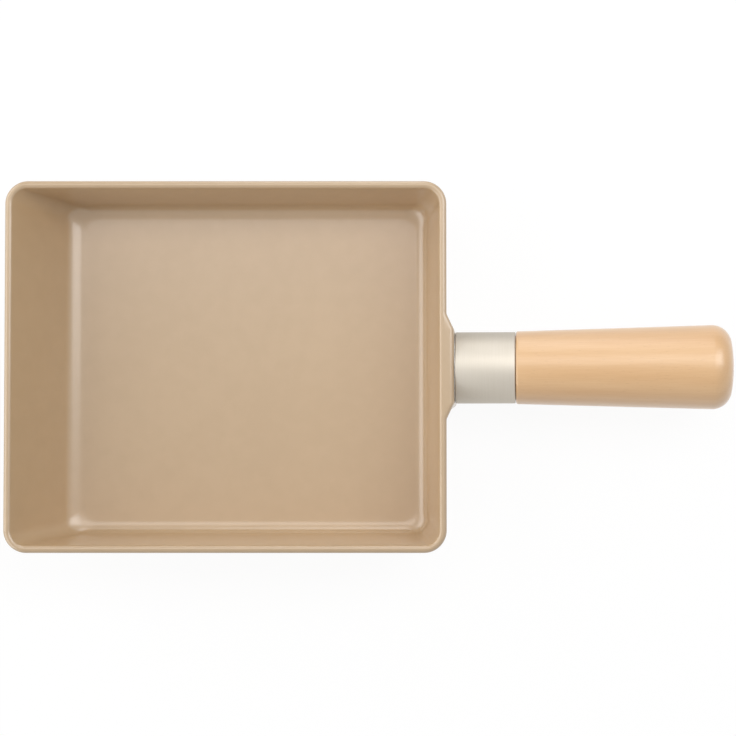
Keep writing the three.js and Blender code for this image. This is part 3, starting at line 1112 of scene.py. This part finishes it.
@dataclass(frozen=True)
class Handle:
    """Ferrule, turned grip and end plug on the handle's axis; places count from the pad's face."""

    axis: HandleAxis
    ferrule_diameter: float = 29.4 * MM
    ferrule_wall: float = 1.2 * MM
    ferrule_length: float = 24.5 * MM
    ferrule_edge: float = 0.4 * MM
    grip_front_diameter: float = 30 * MM
    grip_end_diameter: float = 34.5 * MM
    grip_length: float = 88.8 * MM
    grip_front_edge: float = 0.8 * MM
    grip_end_round: float = 8 * MM
    grip_end_crown: float = math.radians(10)
    tenon_length: float = 12 * MM
    tenon_diameter: float = 26.4 * MM
    tenon_chamfer: float = 1 * MM
    bore: float = 6.6 * MM
    counterbore: float = 13 * MM
    counterbore_depth: float = 31 * MM
    plug_length: float = 12 * MM
    plug_chamfer: float = 0.8 * MM
    sides: int = 96
    plug_sides: int = 48
    ferrule_edge_steps: int = 5
    front_edge_steps: int = 6
    taper_steps: int = 13
    end_round_steps: int = 18
    crown_steps: int = 8
    plug_crown_steps: int = 6
    crease: float = 35.0
    metal: BrushedMetal = BrushedMetal(
        "satin_ferrule", shade=card(194, 187, 176), line_shade=card(192, 185, 173),
        brushing=Brushing.AROUND_X, fineness=2600.0, roughness=(0.5, 0.54))
    wood: Beech = Beech()

    def shoulder(self) -> float:
        """Place at which the grip meets the ferrule."""
        return self.ferrule_length + 2 * FIT_GAP

    def end(self) -> float:
        """Place of the middle of the grip's crowned end."""
        return self.shoulder() + self.grip_length

    def bolt_seat(self) -> float:
        """Place of the counterbore's bottom."""
        return self.end() - self.counterbore_depth

    def crown(self, start: float, end: float, steps: int) -> Outline:
        """Sample the crowned end between two radii.

        Args:
            start: First radius.
            end: Last radius.
            steps: Steps between the two.

        Returns:
            Points along and away from the axis.
        """
        curve = math.tan(self.grip_end_crown) / (2 * self.crown_rim())
        return [(self.end() - curve * radius ** 2, radius) for radius in np.linspace(start, end, steps + 1)]

    def crown_rim(self) -> float:
        """Radius at which the crown runs into the round of the grip's edge."""
        return self.grip_end_diameter / 2 - self.grip_end_round * (1 - math.sin(self.grip_end_crown))

    def ferrule(self) -> Piece:
        """Turn the ferrule from tube, with soft edges."""
        outer = self.ferrule_diameter / 2
        inner = outer - self.ferrule_wall
        start = FIT_GAP
        end = start + self.ferrule_length
        edge = self.ferrule_edge
        outline = [
            (start, inner),
            *round_edge(start + edge, outer - edge, edge, -QUARTER, 0, self.ferrule_edge_steps),
            *round_edge(end - edge, outer - edge, edge, 0, QUARTER, self.ferrule_edge_steps),
            (end, inner),
        ]
        piece = turned("ferrule_tube", outline, self.sides, self.crease)
        piece.data.materials.append(self.metal.material(self.axis))
        return piece

    def grip(self, wood: bpy.types.Material) -> Piece:
        """Turn the grip with its tenon, taper, crowned end, bore and counterbore.

        Args:
            wood: Finish of the grip.

        Returns:
            The grip.
        """
        shoulder = self.shoulder()
        tenon_start = shoulder - self.tenon_length
        tenon = self.tenon_diameter / 2
        front = self.grip_front_diameter / 2
        edge = self.grip_front_edge
        rim = self.crown_rim()
        crown_edge = self.crown(rim, rim, 1)[0][0]
        round_start = crown_edge - self.grip_end_round * math.cos(self.grip_end_crown)
        taper = math.atan2(self.grip_end_diameter / 2 - front, round_start - shoulder)
        front_edge = round_edge(
            shoulder + edge, front - edge, edge, -QUARTER, -taper, self.front_edge_steps)
        end_round = round_edge(
            round_start, self.grip_end_diameter / 2 - self.grip_end_round, self.grip_end_round,
            -taper, QUARTER - self.grip_end_crown, self.end_round_steps)
        length = np.linspace(0, 1, self.taper_steps + 1)[1:-1]
        first = np.array(front_edge[-1])
        taper_line = [tuple(first + share * (np.array(end_round[0]) - first)) for share in length]
        outline = [
            (tenon_start, self.bore / 2),
            (tenon_start, tenon - self.tenon_chamfer),
            (tenon_start + self.tenon_chamfer, tenon),
            (shoulder, tenon),
            *front_edge,
            *taper_line,
            *end_round,
            *self.crown(rim, self.counterbore / 2, self.crown_steps)[1:],
            (self.bolt_seat(), self.counterbore / 2),
            (self.bolt_seat(), self.bore / 2),
        ]
        piece = turned("beech_grip", outline, self.sides, self.crease)
        piece.data.materials.append(wood)
        return piece

    def plug(self, wood: bpy.types.Material) -> Piece:
        """Turn the plug that closes the counterbore flush with the crown.

        Args:
            wood: Finish of the plug.

        Returns:
            The plug.
        """
        radius = self.counterbore / 2 - FIT_GAP
        start = self.end() - self.plug_length
        outline = [
            (start, 0.0),
            (start, radius - self.plug_chamfer),
            (start + self.plug_chamfer, radius),
            *self.crown(radius, 0.0, self.plug_crown_steps),
        ]
        piece = turned("beech_plug", outline, self.plug_sides, self.crease)
        piece.data.materials.append(wood)
        return piece

    def build(self) -> dict[str, Piece]:
        """Build the three pieces on the handle's axis.

        Returns:
            Each piece under the name of the CAD node that it stands for.
        """
        wood = self.wood.material(self.axis)
        pieces = {"ferrule": self.ferrule(), "grip": self.grip(wood), "end_plug": self.plug(wood)}
        for piece in pieces.values():
            piece.data.transform(self.axis.matrix())
        return pieces


@dataclass(frozen=True)
class TieBolt:
    """Socket-head bolt with its flat and split washers; places count from the pad's face."""

    axis: HandleAxis
    seat: float
    tip: float = -4.2 * MM
    diameter: float = 6 * MM
    thread_pitch: float = 1 * MM
    thread_depth: float = 0.6 * MM
    thread_length: float = 18 * MM
    thread_turn_steps: int = 8
    point: float = 1 * MM
    head_diameter: float = 10 * MM
    head_height: float = 6 * MM
    head_edge: float = 0.2 * MM
    head_chamfer: float = 0.6 * MM
    socket: float = 5 * MM
    socket_depth: float = 3 * MM
    socket_cone: float = 0.3
    bore: float = 6.6 * MM
    washer_diameter: float = 12 * MM
    washer: float = 1.6 * MM
    washer_edge: float = 0.25 * MM
    washer_edge_steps: int = 3
    split_diameter: float = 11.8 * MM
    split: float = 1.2 * MM
    split_slant: float = math.radians(12)
    split_edge: float = 0.15 * MM
    sides: int = 48
    crease: float = 35.0
    metal: BrushedMetal = BrushedMetal(
        "zinc_steel", shade=card(176, 179, 182), line_shade=card(150, 153, 158),
        brushing=Brushing.AROUND_X, fineness=900.0, roughness=(0.29, 0.4))

    def washer_start(self) -> float:
        """Place of the flat washer's face on the grip."""
        return self.seat + FIT_GAP

    def split_start(self) -> float:
        """Place of the split washer's face on the flat one."""
        return self.washer_start() + self.washer + FIT_GAP

    def head_start(self) -> float:
        """Place of the bolt head's face on the split washer."""
        return self.split_start() + self.washer + FIT_GAP

    def bolt(self) -> Piece:
        """Cut the bolt: a rolled thread at its tip, a plain shank and a head with a hexagon socket."""
        skin = Skin()
        angles = np.linspace(0, 4 * QUARTER, self.sides, endpoint=False)
        radius = self.diameter / 2
        steps = int(self.thread_length / self.thread_pitch * self.thread_turn_steps)
        rings = [skin.ring([(self.tip, 0, 0)])]
        for along in np.linspace(0, self.thread_length, steps + 1):
            fade = min(along / self.point, 1.0) * min((self.thread_length - along) / self.thread_pitch, 1.0)
            turn = along / self.thread_pitch - angles / (4 * QUARTER)
            groove = np.abs(2 * (turn % 1.0) - 1) * self.thread_depth * fade
            start = radius - (1 - min(along / self.point, 1.0)) * self.point
            reach = start - groove
            rings.append(skin.ring(
                (self.tip + along, r * math.cos(a), r * math.sin(a)) for r, a in zip(reach, angles)))
        head = self.head_diameter / 2
        start = self.head_start()
        end = start + self.head_height
        outline = [
            (start, radius),
            (start, head - self.head_edge),
            (start + self.head_edge, head),
            (end - self.head_chamfer, head),
            (end, head - self.head_chamfer),
            (end, 0.0),
        ]
        for along, r in outline:
            spread = angles if r > 0 else angles[:1]
            rings.append(skin.ring((along, r * math.cos(a), r * math.sin(a)) for a in spread))
        for first, second in zip(rings, rings[1:]):
            skin.strip(first, second)
        bolt = skin.piece("socket_bolt", self.crease)
        across = self.socket / 2 / math.cos(math.pi / HEXAGON)
        key_outline = [
            (end - self.socket_depth - across * self.socket_cone, 0.0),
            (end - self.socket_depth, across),
            (end + FIT_GAP, across),
            (end + FIT_GAP, 0.0),
        ]
        work(bolt, turned("socket_key", key_outline, HEXAGON), Cut.REMOVE, self.crease)
        return bolt

    def flat_washer(self) -> Piece:
        """Punch the flat washer, with rolled edges on the punched side."""
        start = self.washer_start()
        end = start + self.washer
        inner = self.bore / 2
        outer = self.washer_diameter / 2
        edge = self.washer_edge
        outline = [
            (start, inner),
            (start, outer),
            *round_edge(end - edge, outer - edge, edge, 0, QUARTER, self.washer_edge_steps),
            (end, inner + edge),
            (end - edge, inner),
        ]
        return turned("washer_flat", outline, self.sides, self.crease)

    def split_washer(self) -> Piece:
        """Coil the split washer, pressed flat, with its cut leaning across the thickness."""
        skin = Skin()
        outer = self.split_diameter / 2
        inner = self.bore / 2
        half = self.split / (outer + inner)
        start = self.split_start()
        edge = self.split_edge
        thick = self.washer
        corners = (
            (0.0, inner + edge), (0.0, outer - edge), (edge, outer), (thick - edge, outer),
            (thick, outer - edge), (thick, inner + edge), (thick - edge, inner), (edge, inner))
        loops = []
        for angle in np.linspace(half, 4 * QUARTER - half, self.sides + 1):
            places = []
            for along, radius in corners:
                turn = angle + self.split_slant * along / thick
                places.append((start + along, radius * math.sin(turn), radius * math.cos(turn)))
            loops.append(skin.ring(places))
        skin.cap(loops[0], turned_over=True)
        for first, second in zip(loops, loops[1:]):
            skin.strip(first, second)
        skin.cap(loops[-1])
        return skin.piece("washer_split", self.crease)

    def build(self) -> dict[str, Piece]:
        """Build the bolt and its washers on the handle's axis.

        Returns:
            Each piece under the name of the CAD node that it stands for.
        """
        metal = self.metal.material(self.axis)
        pieces = {
            "tie_bolt": self.bolt(),
            "flat_washer": self.flat_washer(),
            "lock_washer": self.split_washer(),
        }
        for piece in pieces.values():
            piece.data.materials.clear()
            piece.data.materials.append(metal)
            piece.data.transform(self.axis.matrix())
        return pieces


@dataclass(frozen=True)
class Softbox:
    """Lamp with a soft oblong face turned to the pan; its length runs across the handle."""

    name: str
    azimuth: float
    elevation: float
    distance: float
    width: float
    length: float
    brightness: float

    def build(self) -> None:
        """Hang the lamp, facing the middle of the pan."""
        lamp = bpy.data.lights.new(self.name, "AREA")
        lamp.shape = "RECTANGLE"
        lamp.size = self.width
        lamp.size_y = self.length
        lamp.energy = self.brightness * math.pi * self.width * self.length
        turn = math.radians(self.azimuth)
        tilt = math.radians(self.elevation)
        away = Vector((math.cos(turn) * math.cos(tilt), math.sin(turn) * math.cos(tilt), math.sin(tilt)))
        along = (Vector((0.0, 1.0, 0.0)) - away * away.y).normalized()
        holder = bpy.data.objects.new(self.name, lamp)
        holder.location = away * self.distance
        holder.rotation_mode = "QUATERNION"
        holder.rotation_quaternion = Matrix((along.cross(away), along, away)).transposed().to_quaternion()
        bpy.context.scene.collection.objects.link(holder)


def plain_shader(tree: bpy.types.NodeTree, kind: str, **inputs: float | Colour) -> Socket:
    """Add a shader with plain values on its inputs.

    Args:
        tree: Node tree of the floor or the world.
        kind: Type of the shader's node.
        inputs: Values of its inputs.

    Returns:
        The shader.
    """
    node = tree.nodes.new(kind)
    for name, value in inputs.items():
        node.inputs[name].default_value = value
    return node.outputs[0]


def linked(tree: bpy.types.NodeTree, kind: str, *sources: Socket) -> Socket:
    """Add a node that brings other nodes together.

    Args:
        tree: Node tree of the floor or the world.
        kind: Type of the node.
        sources: What its inputs are linked to, in order.

    Returns:
        The node's output.
    """
    node = tree.nodes.new(kind)
    for source, target in zip(sources, node.inputs):
        tree.links.new(source, target)
    return node.outputs[0]


@dataclass(frozen=True)
class Studio:
    """White floor, soft lamps and the camera, which looks almost straight down."""

    aim: Triple = (49.0 * MM, -0.7 * MM, 38 * MM)
    camera_elevation: float = 87.5
    camera_distance: float = 0.9967
    lens: float = 120.0
    sensor: float = 36.0
    floor_size: float = 8.0
    floor_drop: float = 0.1 * MM
    floor_glow: float = 0.93
    floor_shade: float = 0.085
    floor_bounce: float = 0.8
    ambient: float = 0.25
    lamps: tuple[Softbox, ...] = (
        Softbox("lamp_key", azimuth=27.0, elevation=50.0, distance=0.8,
                width=0.6, length=0.4, brightness=3.0),
        Softbox("lamp_over", azimuth=103.0, elevation=70.0, distance=0.78,
                width=0.4, length=0.35, brightness=1.6),
        Softbox("lamp_left", azimuth=180.0, elevation=30.0, distance=1.0,
                width=0.8, length=2.4, brightness=1.7),
        Softbox("lamp_back", azimuth=88.0, elevation=9.0, distance=0.9,
                width=0.3, length=1.2, brightness=1.8),
    )

    def seen(self, tree: bpy.types.NodeTree) -> Socket:
        """Add the share of rays that show the background itself.

        Args:
            tree: Node tree of the floor or the world.

        Returns:
            1 for camera, glossy and transmission rays, 0 for the others.
        """
        path = tree.nodes.new("ShaderNodeLightPath")
        total = path.outputs["Is Camera Ray"]
        for name in ("Is Glossy Ray", "Is Transmission Ray"):
            larger = tree.nodes.new("ShaderNodeMath")
            larger.operation = "MAXIMUM"
            tree.links.new(total, larger.inputs[0])
            tree.links.new(path.outputs[name], larger.inputs[1])
            total = larger.outputs["Value"]
        return total

    def floor(self) -> None:
        """Lay the floor: white to the camera, with the pan's faint shadow on it, and clear from below."""
        half = self.floor_size / 2
        corners = ((-1, -1), (1, -1), (1, 1), (-1, 1))
        skin = Skin()
        skin.cap(skin.ring([(x * half, y * half, -self.floor_drop) for x, y in corners]))
        floor = skin.piece("studio_floor")
        material = bpy.data.materials.new("white_floor")
        material.use_nodes = True
        tree = material.node_tree
        tree.nodes.remove(tree.nodes["Principled BSDF"])
        bounce = plain_shader(tree, "ShaderNodeBsdfDiffuse", Color=grey(self.floor_bounce))
        shaded = plain_shader(tree, "ShaderNodeBsdfDiffuse", Color=grey(self.floor_shade))
        glow = plain_shader(tree, "ShaderNodeEmission", Strength=self.floor_glow)
        clear = plain_shader(tree, "ShaderNodeBsdfTransparent")
        shown = linked(tree, "ShaderNodeAddShader", shaded, glow)
        above = linked(tree, "ShaderNodeMixShader", self.seen(tree), bounce, shown)
        below = tree.nodes.new("ShaderNodeNewGeometry").outputs["Backfacing"]
        sheet = linked(tree, "ShaderNodeMixShader", below, above, clear)
        tree.links.new(sheet, tree.nodes["Material Output"].inputs["Surface"])
        floor.data.materials.append(material)

    def world(self) -> None:
        """Fill the room with even soft light, and show it as white."""
        world = bpy.data.worlds.new("studio_room")
        bpy.context.scene.world = world
        world.use_nodes = True
        tree = world.node_tree
        room = tree.nodes["Background"]
        room.inputs["Color"].default_value = grey(1.0)
        room.inputs["Strength"].default_value = self.ambient
        white = plain_shader(tree, "ShaderNodeBackground", Color=grey(1.0))
        choice = linked(tree, "ShaderNodeMixShader", self.seen(tree), room.outputs[0], white)
        tree.links.new(choice, tree.nodes["World Output"].inputs["Surface"])

    def camera(self) -> None:
        """Set the camera above the pan, at the photograph's angle."""
        lens = bpy.data.cameras.new("camera")
        lens.lens = self.lens
        lens.sensor_width = self.sensor
        tilt = math.radians(self.camera_elevation)
        back = Vector((0.0, -math.cos(tilt), math.sin(tilt)))
        camera = bpy.data.objects.new("camera", lens)
        camera.location = Vector(self.aim) + back * self.camera_distance
        camera.rotation_mode = "QUATERNION"
        camera.rotation_quaternion = (-back).to_track_quat("-Z", "Y")
        bpy.context.scene.collection.objects.link(camera)
        bpy.context.scene.camera = camera

    def build(self) -> None:
        """Set up the floor, the room, the lamps and the camera."""
        bpy.context.scene.view_settings.view_transform = "Standard"
        self.floor()
        self.world()
        for lamp in self.lamps:
            lamp.build()
        self.camera()


def fasten(piece: Piece, node: str) -> None:
    """Let a piece stand for a CAD node on the pan's body.

    Args:
        piece: New piece.
        node: Name of the CAD node.
    """
    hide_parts(node)
    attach(piece, BODY)
    bpy.context.view_layer.update()
    low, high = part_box(node)
    spans = np.array([vertex.co for vertex in piece.data.vertices])
    drift = max(np.abs(spans.min(axis=0) - low).max(), np.abs(spans.max(axis=0) - high).max())
    LOG.info("%s stands for %s: %d faces, box within %.3f mm",
             piece.name, node, len(piece.data.polygons), drift / MM)


def main() -> None:
    """Build the pan and its studio, and report each piece."""
    logging.basicConfig(level=logging.INFO, format="%(message)s")
    casting = PanCasting()
    axis = casting.handle_axis()
    handle = Handle(axis)
    bolt = TieBolt(axis, handle.bolt_seat())
    pieces = {"pan_body": casting.build(), "induction_plate": casting.plate().build()}
    pieces.update(handle.build())
    pieces.update(bolt.build())
    for node, piece in pieces.items():
        fasten(piece, node)
    Studio().build()


if __name__ == "__main__":
    main()
